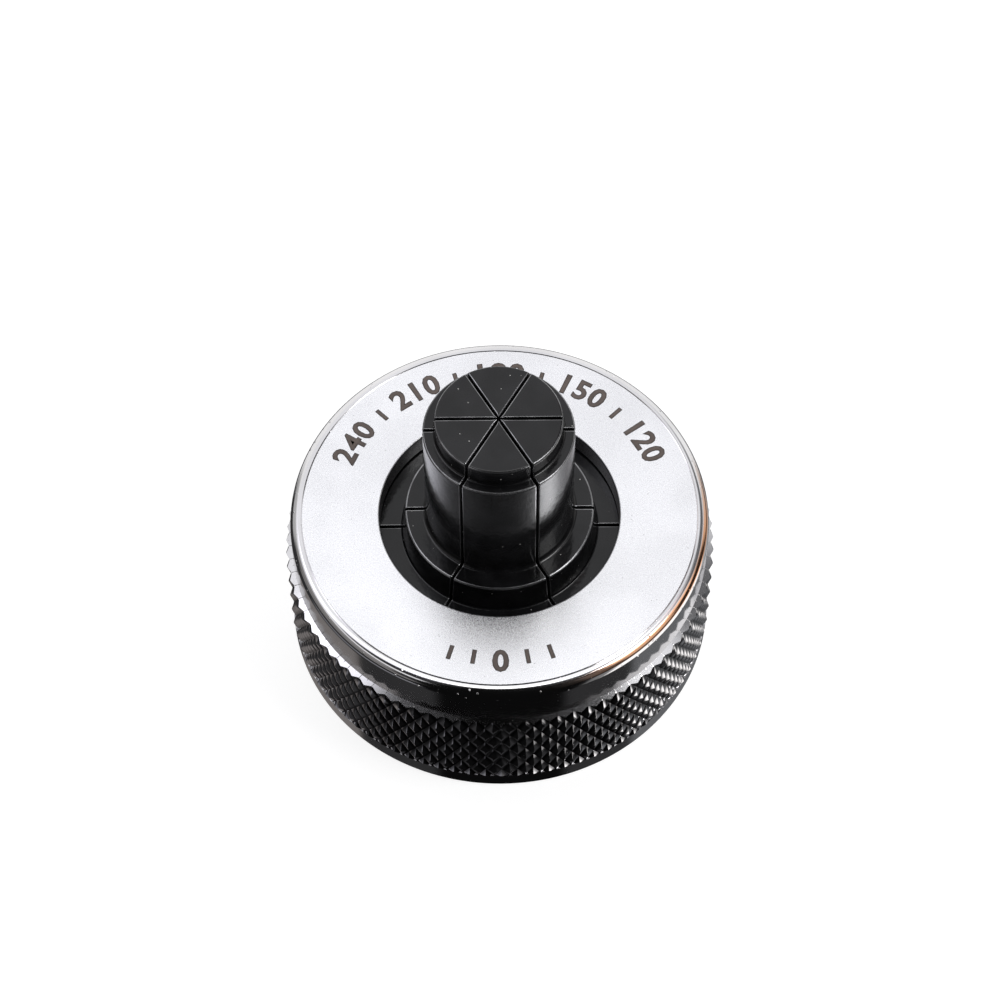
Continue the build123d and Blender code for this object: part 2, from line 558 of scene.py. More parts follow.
@dataclass
class UnionCap:
    """The knurled cap: a turned cup with a hole in its face, a thread, a groove and a diamond knurl."""

    columns: int = 168
    height: float = 19.8
    band_radius: float = 23.9
    band_bottom: float = 14.5
    rim_radius: float = 24.5
    rim_top: float = 2.15
    grip_radius: float = 24.7
    grip_bottom: float = 2.35
    grip_top: float = 14.25
    face_edge: float = 1.05
    face_break: float = 22.5
    face_break_drop: float = 0.02
    face_line_depth: float = 0.09
    rear_edge: float = 0.3
    hole_radius: float = 13.7
    hole_edge: float = 0.18
    face_underside: float = 17.2
    thread_minor: float = 19.188
    thread_major: float = 20.0
    thread_pitch: float = 1.5
    groove_radius: float = 20.238
    groove_top: float = 10.65
    groove_bottom: float = 9.05
    mouth_radius: float = 20.188
    knurl_rows: int = 8
    knurl_pitch: float = 1.6
    knurl_depth: float = 0.4
    knurl_flat: float = 0.03
    knurl_unevenness: float = 0.01
    finishes: tuple[PlatedSteel, ...] = (
        PlatedSteel("face_steel", Zone.FACE, (0.915, 0.915, 0.94), 0.29, 0.03, 0.94),
        PlatedSteel("side_steel", Zone.SIDE, (0.86, 0.85, 0.86), 0.11, 0.05),
        PlatedSteel("knurl_steel", Zone.KNURL, (0.86, 0.85, 0.87), 0.08, 0.10),
        PlatedSteel("bore_steel", Zone.BORE, (0.55, 0.55, 0.56), 0.30, 0.20),
    )

    def chamber_outline(self) -> list[tuple[Vector, Zone]]:
        """The outline from the band, over the face and down the inside to the thread.

        Returns:
            Points with the zone of the surface that follows each.
        """
        outline = Outline(
            (
                Corner(self.band_radius, self.band_bottom),
                Corner(self.band_radius, self.height - self.face_break_drop, self.face_edge),
                Corner(self.face_break + 0.16, self.height - self.face_break_drop),
                Corner(self.face_break + 0.08, self.height - self.face_line_depth),
                Corner(self.face_break, self.height),
                Corner(self.hole_radius, self.height, self.hole_edge),
                Corner(self.hole_radius, self.face_underside, 0.1),
                Corner(self.thread_minor, self.face_underside),
                Corner(self.thread_minor, self.groove_top),
                Corner(self.groove_radius, self.groove_top),
                Corner(self.groove_radius, self.groove_bottom),
                Corner(self.thread_minor, self.groove_bottom),
            )
        )
        return [(point, self.zone_at(point)) for point in outline.points()]

    def zone_at(self, point: Vector) -> Zone:
        """The zone of the surface that follows a point of the chamber's outline."""
        if point.x > self.face_break + 0.01:
            return Zone.SIDE
        if point.y > self.height - 0.01 and point.x > self.hole_radius + self.hole_edge + 0.01:
            return Zone.FACE
        return Zone.BORE

    def thread_rings(self, spacing: float = 0.094) -> list[Ring]:
        """The thread, from the groove down to the mouth, where a countersink cuts it.

        Args:
            spacing: the distance between rows, in millimetres.

        Returns:
            Rings of points from the top down.
        """
        top = self.groove_bottom - 0.05
        bottom = self.mouth_radius - self.thread_major
        count = round((top - bottom) / spacing)
        rings = []
        for row in range(count + 1):
            level = top - (top - bottom) * row / count
            run_out = min(1.0, max(0.0, (top - level) / 0.9))
            rings.append([self.thread_point(column, level, run_out) for column in range(self.columns)])
        return rings

    def thread_point(self, column: int, level: float, run_out: float) -> Vector:
        """One point of the thread.

        Args:
            column: which column it is in.
            level: its height in millimetres.
            run_out: the share of the full depth.

        Returns:
            The point.
        """
        turn = FULL_TURN * column / self.columns
        phase = (level / self.thread_pitch - column / self.columns) % 1.0
        from_root = abs(phase - 0.5) * 2.0
        share = min(1.0, max(0.0, (0.75 - from_root) / 0.625))
        reach = self.thread_minor + (self.thread_major - self.thread_minor) * share * run_out
        reach = max(reach, self.mouth_radius - level)
        return Vector((reach * math.cos(turn), reach * math.sin(turn), level))

    def rim_outline(self) -> list[Vector]:
        """The outline from the thread's mouth round the rear rim to the knurl."""
        return Outline(
            (
                Corner(self.mouth_radius, 0.0),
                Corner(self.rim_radius, 0.0, self.rear_edge),
                Corner(self.rim_radius, self.rim_top),
            )
        ).points()

    def turned_rings(self) -> tuple[list[Ring], list[Zone]]:
        """All turned surfaces as rings, with the zone that follows each ring."""
        rings: list[Ring] = []
        zones: list[Zone] = []
        for point, zone in self.chamber_outline():
            rings.append(ring(point.x, point.y, self.columns))
            zones.append(zone)
        for turn in self.thread_rings():
            rings.append(turn)
            zones.append(Zone.BORE)
        for point in self.rim_outline():
            rings.append(ring(point.x, point.y, self.columns))
            zones.append(Zone.SIDE)
        return rings, zones

    @property
    def knurl_root(self) -> float:
        """The radius of the knurl's grooves."""
        return self.grip_radius + self.knurl_flat - self.knurl_depth

    @property
    def knurl_ends(self) -> tuple[tuple[Vector, Vector], tuple[Vector, Vector]]:
        """The turned shoulders at the knurl's two ends, as points of level and height over the root."""
        root = self.knurl_root
        front = Vector((self.band_bottom, self.band_radius - root)), Vector((self.grip_top, self.grip_radius - root))
        rear = Vector((self.rim_top, self.rim_radius - root)), Vector((self.grip_bottom, self.grip_radius - root))
        return front, rear

    def knurl_limit(self, level: float) -> float:
        """How high the knurl may stand over its root at a level, under its flats and shoulders."""
        limit = self.knurl_depth - self.knurl_flat
        for outer, inner in self.knurl_ends:
            share = (level - outer.x) / (inner.x - outer.x)
            limit = min(limit, outer.y + (inner.y - outer.y) * share)
        return limit

    def knurl_patch(self) -> bmesh.types.BMesh:
        """The diamond knurl, made flat, cut by its shoulders and flats, then rolled round the cap.

        Returns:
            Mesh work in millimetres.
        """
        shaker = random.Random(7)
        flat = bmesh.new()
        rows = []
        for row in range(self.knurl_rows + 1):
            level = self.rim_top + self.knurl_pitch * (row - 0.25)
            height = [self.knurl_depth * ((row + column + 1) % 2) for column in range(self.columns)]
            height = [value + shaker.uniform(-1, 1) * self.knurl_unevenness for value in height]
            height.append(height[0])
            rows.append([flat.verts.new((column, level, height[column])) for column in range(self.columns + 1)])
        for row in range(self.knurl_rows):
            for column in range(self.columns):
                low, high = rows[row], rows[row + 1]
                a, b, c, d = low[column], low[column + 1], high[column + 1], high[column]
                halves = ((a, b, d), (b, c, d)) if (row + column) % 2 == 0 else ((a, b, c), (a, c, d))
                for half in halves:
                    flat.faces.new(half)
        self.cut_knurl(flat)
        for vert in flat.verts:
            height = min(vert.co.z, self.knurl_limit(vert.co.y))
            turn = FULL_TURN * vert.co.x / self.columns
            reach = self.knurl_root + height
            vert.co = Vector((reach * math.cos(turn), reach * math.sin(turn), vert.co.y))
        bmesh.ops.remove_doubles(flat, verts=flat.verts, dist=2e-4)
        return flat

    def cut_knurl(self, flat: bmesh.types.BMesh) -> None:
        """Trims the knurl and adds the edges where the shoulders and the flats meet the diamonds.

        Args:
            flat: the knurl before it is rolled round the cap.
        """
        for level, normal in ((self.band_bottom, Vector((0, 1, 0))), (self.rim_top, Vector((0, -1, 0)))):
            geometry = [*flat.verts, *flat.edges, *flat.faces]
            place = Vector((0, level, 0))
            bmesh.ops.bisect_plane(flat, geom=geometry, dist=1e-5, plane_co=place, plane_no=normal, clear_outer=True)
        cuts = [(Vector((0, 0, self.knurl_depth - self.knurl_flat)), Vector((0, 0, 1)))]
        for outer, inner in self.knurl_ends:
            along = Vector((0, outer.x - inner.x, outer.y - inner.y))
            normal = Vector((0, -along.z, along.y)).normalized()
            cuts.append((Vector((0, outer.x, outer.y)), normal if normal.z > 0 else -normal))
        for point, normal in cuts:
            geometry = [*flat.verts, *flat.edges, *flat.faces]
            bmesh.ops.bisect_plane(flat, geom=geometry, dist=1e-5, plane_co=point, plane_no=normal)
        for face in flat.faces:
            middle = face.calc_center_median()
            turned = any((middle - point).dot(normal) > 1e-5 for point, normal in cuts[1:])
            face.material_index = Zone.SIDE.value if turned else Zone.KNURL.value
            face.smooth = False

    def column_of(self, vert: bmesh.types.BMVert) -> float:
        """Which column a vertex stands in, with the share of the way to the next."""
        return math.atan2(vert.co.y, vert.co.x) / FULL_TURN % 1.0 * self.columns

    def close_rim_step(self, work: bmesh.types.BMesh, ends: list[bmesh.types.BMVert], rim: list[bmesh.types.BMVert]) -> None:
        """Closes the small step between the ends of the knurl's grooves and the rear rim.

        Args:
            work: the cap's mesh work.
            ends: the knurl's lowest vertices.
            rim: the rim's top ring.
        """
        for column in range(self.columns):
            after = (column + 1) % self.columns
            offsets = {vert: (self.column_of(vert) - column + 0.01) % self.columns for vert in ends}
            inner = sorted((vert for vert in ends if offsets[vert] < 1.02), key=offsets.get)
            face = work.faces.new((rim[column], *inner, rim[after]))
            face.material_index = Zone.SIDE.value

    def build(self) -> bpy.types.Object:
        """Builds and dresses the cap.

        Returns:
            The cap, riding on its body.
        """
        work = self.knurl_patch()
        ends = [vert for vert in work.verts if vert.is_boundary and abs(vert.co.z - self.rim_top) < 1e-4]
        rings, zones = self.turned_rings()
        rows = [[work.verts.new(point) for point in one] for one in rings]
        self.close_rim_step(work, ends, rows[-1])
        for index in range(len(rows) - 1):
            for column in range(self.columns):
                after = (column + 1) % self.columns
                low, high = rows[index], rows[index + 1]
                face = work.faces.new((low[column], low[after], high[after], high[column]))
                face.material_index = zones[index].value
                face.smooth = True
        materials = [finish.make() for finish in self.finishes]
        cap = make_object("union_cap", work, materials, 32.0)
        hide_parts("knurled_cap")
        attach(cap, "cap")
        return cap


@dataclass
class JawPack:
    """Six jaws cut from one turned body, with rounded edges along their splits and a bored pin hole."""

    count: int = 6
    front_azimuth: float = -90.0
    gap: float = 0.2
    split_rounding: float = 0.17
    columns: int = 16
    nose_radius: float = 8.4
    pilot_radius: float = 7.1
    head_top: float = 38.8
    nose_top: float = 36.6
    shoulder_top: float = 20.7
    shoulder_radius: float = 10.725
    shoulder_foot_radius: float = 11.2
    flange_radius: float = 17.713
    flange_top: float = 16.95
    flange_bottom: float = 11.8
    groove_radius: float = 15.413
    groove_half: float = 1.15
    socket_mouth_radius: float = 7.5
    socket_roof: float = 33.8
    socket_half_angle: float = 10.0
    pin_radius: float = 1.0
    pin_hole_play: float = 0.04
    pin_circle_radius: float = 12.4
    pin_hole_depth: float = 3.8
    settle: tuple[float, ...] = (-0.09, -0.02, 0.0, 0.0, -0.03, 0.0)
    worn_reach: float = 0.18
    finish: BlackOxide = BlackOxide()
    # painted highlight: the edge finish is a brighter, more metallic black oxide laid on edge faces to show bright
    # glint lines
    edge_finish: BlackOxide = BlackOxide("edge_glint", (0.17, 0.17, 0.175), 0.2, 1.6, 0.85)

    @property
    def half_step(self) -> float:
        """Half the angle of one jaw, in radians."""
        return math.pi / self.count

    @property
    def tip(self) -> float:
        """How far from the axis the jaws' inner edges stand, in millimetres."""
        return self.gap / 2.0 / math.sin(self.half_step)

    @property
    def middle(self) -> float:
        """The level of the middle of the flange."""
        return (self.flange_top + self.flange_bottom) / 2.0

    def outline(self) -> list[Vector]:
        """The jaw's outline, from the roof of the socket round the outside to the top."""
        roof_radius = self.socket_mouth_radius - (self.socket_roof - self.flange_bottom) * math.tan(
            math.radians(self.socket_half_angle)
        )
        near_tip = self.tip + 0.45
        low, high = self.middle - self.groove_half, self.middle + self.groove_half
        return Outline(
            (
                Corner(self.tip, self.socket_roof),
                Corner(near_tip, self.socket_roof),
                Corner(roof_radius, self.socket_roof, 0.2),
                Corner(self.socket_mouth_radius, self.flange_bottom, 0.4),
                Corner(self.flange_radius, self.flange_bottom, 0.3),
                Corner(self.flange_radius, low),
                Corner(self.groove_radius, low),
                Corner(self.groove_radius, high),
                Corner(self.flange_radius, high),
                Corner(self.flange_radius, self.flange_top, 0.3),
                Corner(self.shoulder_foot_radius, self.flange_top, 0.2),
                Corner(self.shoulder_radius, self.shoulder_top, 0.22),
                Corner(self.nose_radius, self.shoulder_top, 0.45),
                Corner(self.nose_radius, self.nose_top, 0.22),
                Corner(self.pilot_radius, self.nose_top, 0.28),
                Corner(self.pilot_radius, self.head_top, 0.3),
                Corner(near_tip, self.head_top),
                Corner(self.tip, self.head_top),
            ),
            support=0.05,
        ).points()

    def inward(self, points: list[Vector]) -> list[Vector]:
        """For each point of the outline, the way into the metal that keeps a parallel outline parallel.

        Args:
            points: the outline.

        Returns:
            One vector for each point.
        """
        count = len(points)
        ways = []
        for index in range(count):
            arriving = (points[index] - points[index - 1]).normalized()
            leaving = (points[(index + 1) % count] - points[index]).normalized()
            first, second = Vector((-arriving.y, arriving.x)), Vector((-leaving.y, leaving.x))
            ways.append((first + second) / max(0.3, 1.0 + first.dot(second)))
        return ways

    def across(self) -> list[tuple[float, float]]:
        """The columns of one jaw, from one split to the other.

        Returns:
            Pairs of the rounding's angle in degrees and the share of the half angle, -1 to 1.
        """
        rounding = [90.0, 60.0, 30.0]
        inner = [-1.0 + 2.0 * column / self.columns for column in range(self.columns + 1)]
        inner = [inner[0], -0.985, *inner[1:-1], 0.985, inner[-1]]
        left = [(angle, -1.0) for angle in rounding]
        right = [(angle, 1.0) for angle in reversed(rounding)]
        return [*left, *((0.0, share) for share in inner), *right]

    def point(self, base: Vector, inward: Vector, angle: float, share: float) -> Vector:
        """One point of a jaw that lies along +X.

        Args:
            base: the outline's point.
            inward: the way into the metal there.
            angle: how far round the split's rounding it is, in degrees.
            share: the share of the half angle.

        Returns:
            The point.
        """
        room = (base.x - self.tip) * math.sin(self.half_step)
        soft = self.split_rounding * min(1.0, max(0.0, room) / (1.5 * self.split_rounding))
        inset = soft * (1.0 - math.cos(math.radians(angle)))
        off_split = soft * (1.0 - math.sin(math.radians(angle)))
        flat = base + inward * inset
        half = self.half_step - math.asin(min(0.5, (self.gap / 2.0 + off_split) / flat.x))
        turn = half * share
        return Vector((flat.x * math.cos(turn), flat.x * math.sin(turn), flat.y))

    def is_rubbed(self, base: Vector, angle: float) -> bool:
        """Whether a face of the jaw lies on an edge that gets the painted highlight of the brighter edge finish.

        Args:
            base: the face's point on the outline.
            angle: how far round the split's rounding it is, in degrees.

        Returns:
            True on the split's outer rounding and on the turned edges.
        """
        if base.y < self.flange_top - self.worn_reach:
            return False
        if angle == 30.0:
            return base.x > self.tip + self.split_rounding
        edges = (
            (self.shoulder_radius, self.shoulder_top),
            (self.nose_radius, self.nose_top),
            (self.pilot_radius, self.head_top),
        )
        return angle == 0.0 and any((base - Vector(edge)).length < self.worn_reach for edge in edges)

    def bore_pin_hole(self, work: bmesh.types.BMesh, edge_loop: list[bmesh.types.BMVert], side: float) -> None:
        """Closes one split face round a bored hole for the guide pin.

        Args:
            work: the jaw's mesh work.
            edge_loop: the vertices round the split face, in order.
            side: -1 or 1.
        """
        turn = self.half_step * side
        outwards = Vector((math.cos(turn), math.sin(turn), 0.0))
        inwards = Vector((math.sin(turn), -math.cos(turn), 0.0)) * side
        centre = outwards * self.pin_circle_radius + inwards * (self.gap / 2.0) + Vector((0, 0, self.middle))
        radius = self.pin_radius + (self.pin_hole_play if side < 0 else 0.0)
        mouth, floor = [], []
        for step in range(24):
            around = FULL_TURN * step / 24
            spoke = outwards * math.cos(around) * radius + Vector((0, 0, math.sin(around) * radius))
            mouth.append(work.verts.new(centre + spoke))
            floor.append(work.verts.new(centre + spoke + inwards * self.pin_hole_depth))
        loops = []
        for loop in (edge_loop, mouth):
            for index, vert in enumerate(loop):
                after = loop[(index + 1) % len(loop)]
                edge = work.edges.get((vert, after)) or work.edges.new((vert, after))
                loops.append(edge)
        filled = bmesh.ops.triangle_fill(work, edges=loops, use_beauty=True, normal=inwards)
        for index in range(24):
            after = (index + 1) % 24
            face = work.faces.new((mouth[index], mouth[after], floor[after], floor[index]))
            face.smooth = True
        work.faces.new(floor)
        LOG.debug("split face has %d pieces", len(filled["geom"]))

    def build_one(self, number: int, materials: list[bpy.types.Material]) -> bpy.types.Object:
        """Builds and dresses one jaw.

        Args:
            number: from 1 to the count.
            materials: the finish of its surfaces and the brighter finish that paints highlights on its edges.

        Returns:
            The jaw, riding on its body.
        """
        points = self.outline()
        ways = self.inward(points)
        columns = self.across()
        work = bmesh.new()
        grid = []
        for base, way in zip(points, ways):
            at_tip = base.x < self.tip + 1e-6
            single = work.verts.new((base.x, 0.0, base.y)) if at_tip else None
            row = [single or work.verts.new(self.point(base, way, angle, share)) for angle, share in columns]
            grid.append(row)
        for row, (low, high) in enumerate(zip(grid, grid[1:])):
            middle = (points[row] + points[row + 1]) / 2.0
            for column in range(len(columns) - 1):
                ordered = [low[column], low[column + 1], high[column + 1], high[column]]
                corners = list(dict.fromkeys(ordered))
                if len(corners) > 2:
                    face = work.faces.new(corners)
                    face.smooth = True
                    angle = max(columns[column][0], columns[column + 1][0])
                    # painted highlight: faces on the split roundings and turned edges take the brighter edge finish
                    face.material_index = int(self.is_rubbed(middle, angle))
        self.bore_pin_hole(work, [row[0] for row in grid], -1.0)
        self.bore_pin_hole(work, [row[-1] for row in grid], 1.0)
        azimuth = self.front_azimuth + (number - 1) * 360.0 / self.count
        settle = self.settle[number - 1]
        for vert in work.verts:
            vert.co = rotated(vert.co, azimuth) + Vector((0, 0, settle))
        jaw = make_object(f"swaging_jaw_{number}", work, materials, 34.0)
        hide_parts(f"jaw_{number}")
        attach(jaw, f"jaw_{number}")
        return jaw

    def build(self) -> list[bpy.types.Object]:
        """Builds all the jaws.

        Returns:
            The jaws in order.
        """
        materials = [self.finish.make(), self.edge_finish.make()]
        return [self.build_one(number, materials) for number in range(1, self.count + 1)]


@dataclass
class GarterSpring:
    """The wound spring in the jaws' rim groove. Each jaw carries the coils that lie in it."""

    count: int = 6
    front_azimuth: float = -90.0
    ring_radius: float = 16.463
    level: float = 14.375
    coil_diameter: float = 2.0
    wire: float = 0.42
    turns: int = 33
    steps: int = 12
    finish: PlainMetal = PlainMetal("phosphated_wire", (0.10, 0.10, 0.105), 0.42)

    def build_one(self, number: int, material: bpy.types.Material) -> bpy.types.Object:
        """Builds the coils of one jaw.

        Args:
            number: from 1 to the count.
            material: the wire's finish.

        Returns:
            The wound wire, riding on the jaw.
        """
        wire = bpy.data.curves.new(f"spring_coils_{number}", "CURVE")
        wire.dimensions = "3D"
        wire.bevel_depth = self.wire / 2.0 * MM
        wire.bevel_resolution = 1
        wire.use_fill_caps = True
        spline = wire.splines.new("POLY")
        total = self.turns * self.steps
        spline.points.add(total)
        middle = self.front_azimuth + (number - 1) * 360.0 / self.count
        coil = (self.coil_diameter - self.wire) / 2.0
        for step in range(total + 1):
            around = FULL_TURN * step / self.steps
            azimuth = middle + 360.0 / self.count * (step / total - 0.5)
            local = Vector((self.ring_radius + coil * math.cos(around), 0.0, self.level + coil * math.sin(around)))
            place = rotated(local, azimuth) * MM
            spline.points[step].co = (*place, 1.0)
        wire.materials.append(material)
        piece = bpy.data.objects.new(f"spring_coils_{number}", wire)
        bpy.context.scene.collection.objects.link(piece)
        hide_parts("return_spring")
        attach(piece, f"jaw_{number}")
        return piece

    def build(self) -> list[bpy.types.Object]:
        """Builds the coils of all the jaws.

        Returns:
            The pieces in order.
        """
        material = self.finish.make()
        return [self.build_one(number, material) for number in range(1, self.count + 1)]


@dataclass
class FaceScale:
    """Plain degree marks etched into the cap's face: numbers on the back arc and a zero in front."""

    face_level: float = 19.8
    baseline: float = 18.15
    letter_height: float = 2.6
    stroke: float = 0.045
    outline: float = 0.085
    numbers: tuple[int, ...] = (0, 120, 150, 180, 210, 240)
    tick_step: int = 15
    front_ticks: tuple[int, ...] = (-17, -9, 9, 17)
    tick_low: float = 18.35
    tick_high: float = 20.0
    tick_width: float = 0.34
    layer: float = 0.012
    fill: PlainMetal = PlainMetal("etched_brown", (0.17, 0.135, 0.12), 0.6, 0.3, 14.0)
    border: PlainMetal = PlainMetal("etched_edge", (0.045, 0.036, 0.034), 0.5, 0.3, 14.0)

    def lettering(self, text: str, spread: float) -> bmesh.types.BMesh:
        """The flat shape of one number, centred on its baseline.

        Args:
            text: the number.
            spread: how far its outline is moved outwards, in millimetres.

        Returns:
            Mesh work in millimetres.
        """
        curve = bpy.data.curves.new("number", "FONT")
        curve.body = text
        curve.align_x = "CENTER"
        curve.size = self.letter_height / 0.7
        curve.space_character = 1.12
        curve.offset = self.stroke + spread
        curve.resolution_u = 3
        holder = bpy.data.objects.new("number", curve)
        bpy.context.scene.collection.objects.link(holder)
        mesh = bpy.data.meshes.new_from_object(holder.evaluated_get(bpy.context.evaluated_depsgraph_get()))
        bpy.data.objects.remove(holder)
        bpy.data.curves.remove(curve)
        work = bmesh.new()
        work.from_mesh(mesh)
        bpy.data.meshes.remove(mesh)
        return work

    def bend(self, work: bmesh.types.BMesh, degrees: float, level: float) -> None:
        """Lays a flat shape round the axis, with its top outwards.

        Args:
            work: the flat shape, which is changed.
            degrees: where it stands, from the front and to the right.
            level: its height.
        """
        outwards = degrees > 90.0
        for vert in work.verts:
            across, up = vert.co.x, vert.co.y
            if outwards:
                reach, turn = self.baseline + up, -across / (self.baseline + self.letter_height / 2.0)
            else:
                reach, turn = self.baseline + self.letter_height - up, across / (self.baseline + 1.4)
            azimuth = math.radians(degrees - 90.0) + turn
            vert.co = Vector((reach * math.cos(azimuth), reach * math.sin(azimuth), level))

    def tick(self, work: bmesh.types.BMesh, degrees: float, spread: float, level: float) -> None:
        """Adds one short radial mark.

        Args:
            work: the mesh work that it joins.
            degrees: where it stands.
            spread: how much larger it is drawn.
            level: its height.
        """
        half = self.tick_width / 2.0 + spread
        azimuth = degrees - 90.0
        spots = (
            (self.tick_low - spread, -half),
            (self.tick_high + spread, -half),
            (self.tick_high + spread, half),
            (self.tick_low - spread, half),
        )
        work.faces.new([work.verts.new(rotated(Vector((reach, side, level)), azimuth)) for reach, side in spots])

    def tick_places(self) -> list[float]:
        """Where the ticks stand: between the numbers and beside the zero."""
        back = range(min(self.numbers[1:]), max(self.numbers), self.tick_step)
        return [float(place) for place in (*back, *self.front_ticks) if place not in self.numbers]

    def build(self) -> list[bpy.types.Object]:
        """Builds the marks: a darker border with the fill on it.

        Returns:
            The two pieces, riding on the cap.
        """
        pieces = []
        for name, spread, step, finish in (("mark_borders", self.outline, 1, self.border), ("mark_fills", 0.0, 2, self.fill)):
            level = self.face_level + self.layer * step
            work = bmesh.new()
            for number in self.numbers:
                one = self.lettering(str(number), spread)
                self.bend(one, float(number), level)
                mesh = bpy.data.meshes.new("number")
                one.to_mesh(mesh)
                one.free()
                work.from_mesh(mesh)
                bpy.data.meshes.remove(mesh)
            for place in self.tick_places():
                self.tick(work, place, spread, level)
            piece = make_object(name, work, [finish.make()], 30.0)
            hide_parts("knurled_cap")
            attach(piece, "cap")
            pieces.append(piece)
        return pieces


@dataclass
class InnerPieces:
    """The plain pieces that keep their solids: washer, circlip and guide pins."""

    edge: float = 0.12
    washer: PlainMetal = PlainMetal("zinc_washer", (0.62, 0.62, 0.60), 0.33)
    circlip: PlainMetal = PlainMetal("phosphated_clip", (0.11, 0.11, 0.115), 0.45)
    pin: PlainMetal = PlainMetal("ground_pin", (0.66, 0.66, 0.67), 0.2)

    def dress(self, node: bpy.types.Object, material: bpy.types.Material) -> None:
        """Gives a solid its finish and soft edges.

        Args:
            node: the solid.
            material: its finish.
        """
        for slot in node.material_slots:
            slot.material = material
        edges = node.modifiers.new("edges", "BEVEL")
        edges.width = self.edge * MM
        edges.segments = 2
        edges.limit_method = "ANGLE"
        edges.angle_limit = math.radians(40)

    def build(self, nodes: dict[str, bpy.types.Object]) -> None:
        """Dresses the pieces.

        Args:
            nodes: the solids by name.
        """
        self.dress(nodes["thrust_washer"], self.washer.make())
        self.dress(nodes["circlip"], self.circlip.make())
        ground = self.pin.make()
        for number in range(1, 7):
            self.dress(nodes[f"guide_pin_{number}"], ground)


@dataclass(frozen=True)
class SoftPanel:
    """A soft panel of light that stands far away round the head.

    Attributes:
        azimuth: the middle of the panel, in degrees from the front, positive to the right.
        half_width: half its width in degrees.
        low: the elevation of its lower edge.
        high: the elevation of its upper edge.
        strength: how bright it is, where a white sheet is 1.
        soft: how wide its edges fade, in degrees.
        tint: its colour.
    """

    azimuth: float
    half_width: float
    low: float
    high: float
    strength: float
    soft: float = 10.0
    tint: tuple[float, float, float] = (1.0, 1.0, 1.0)


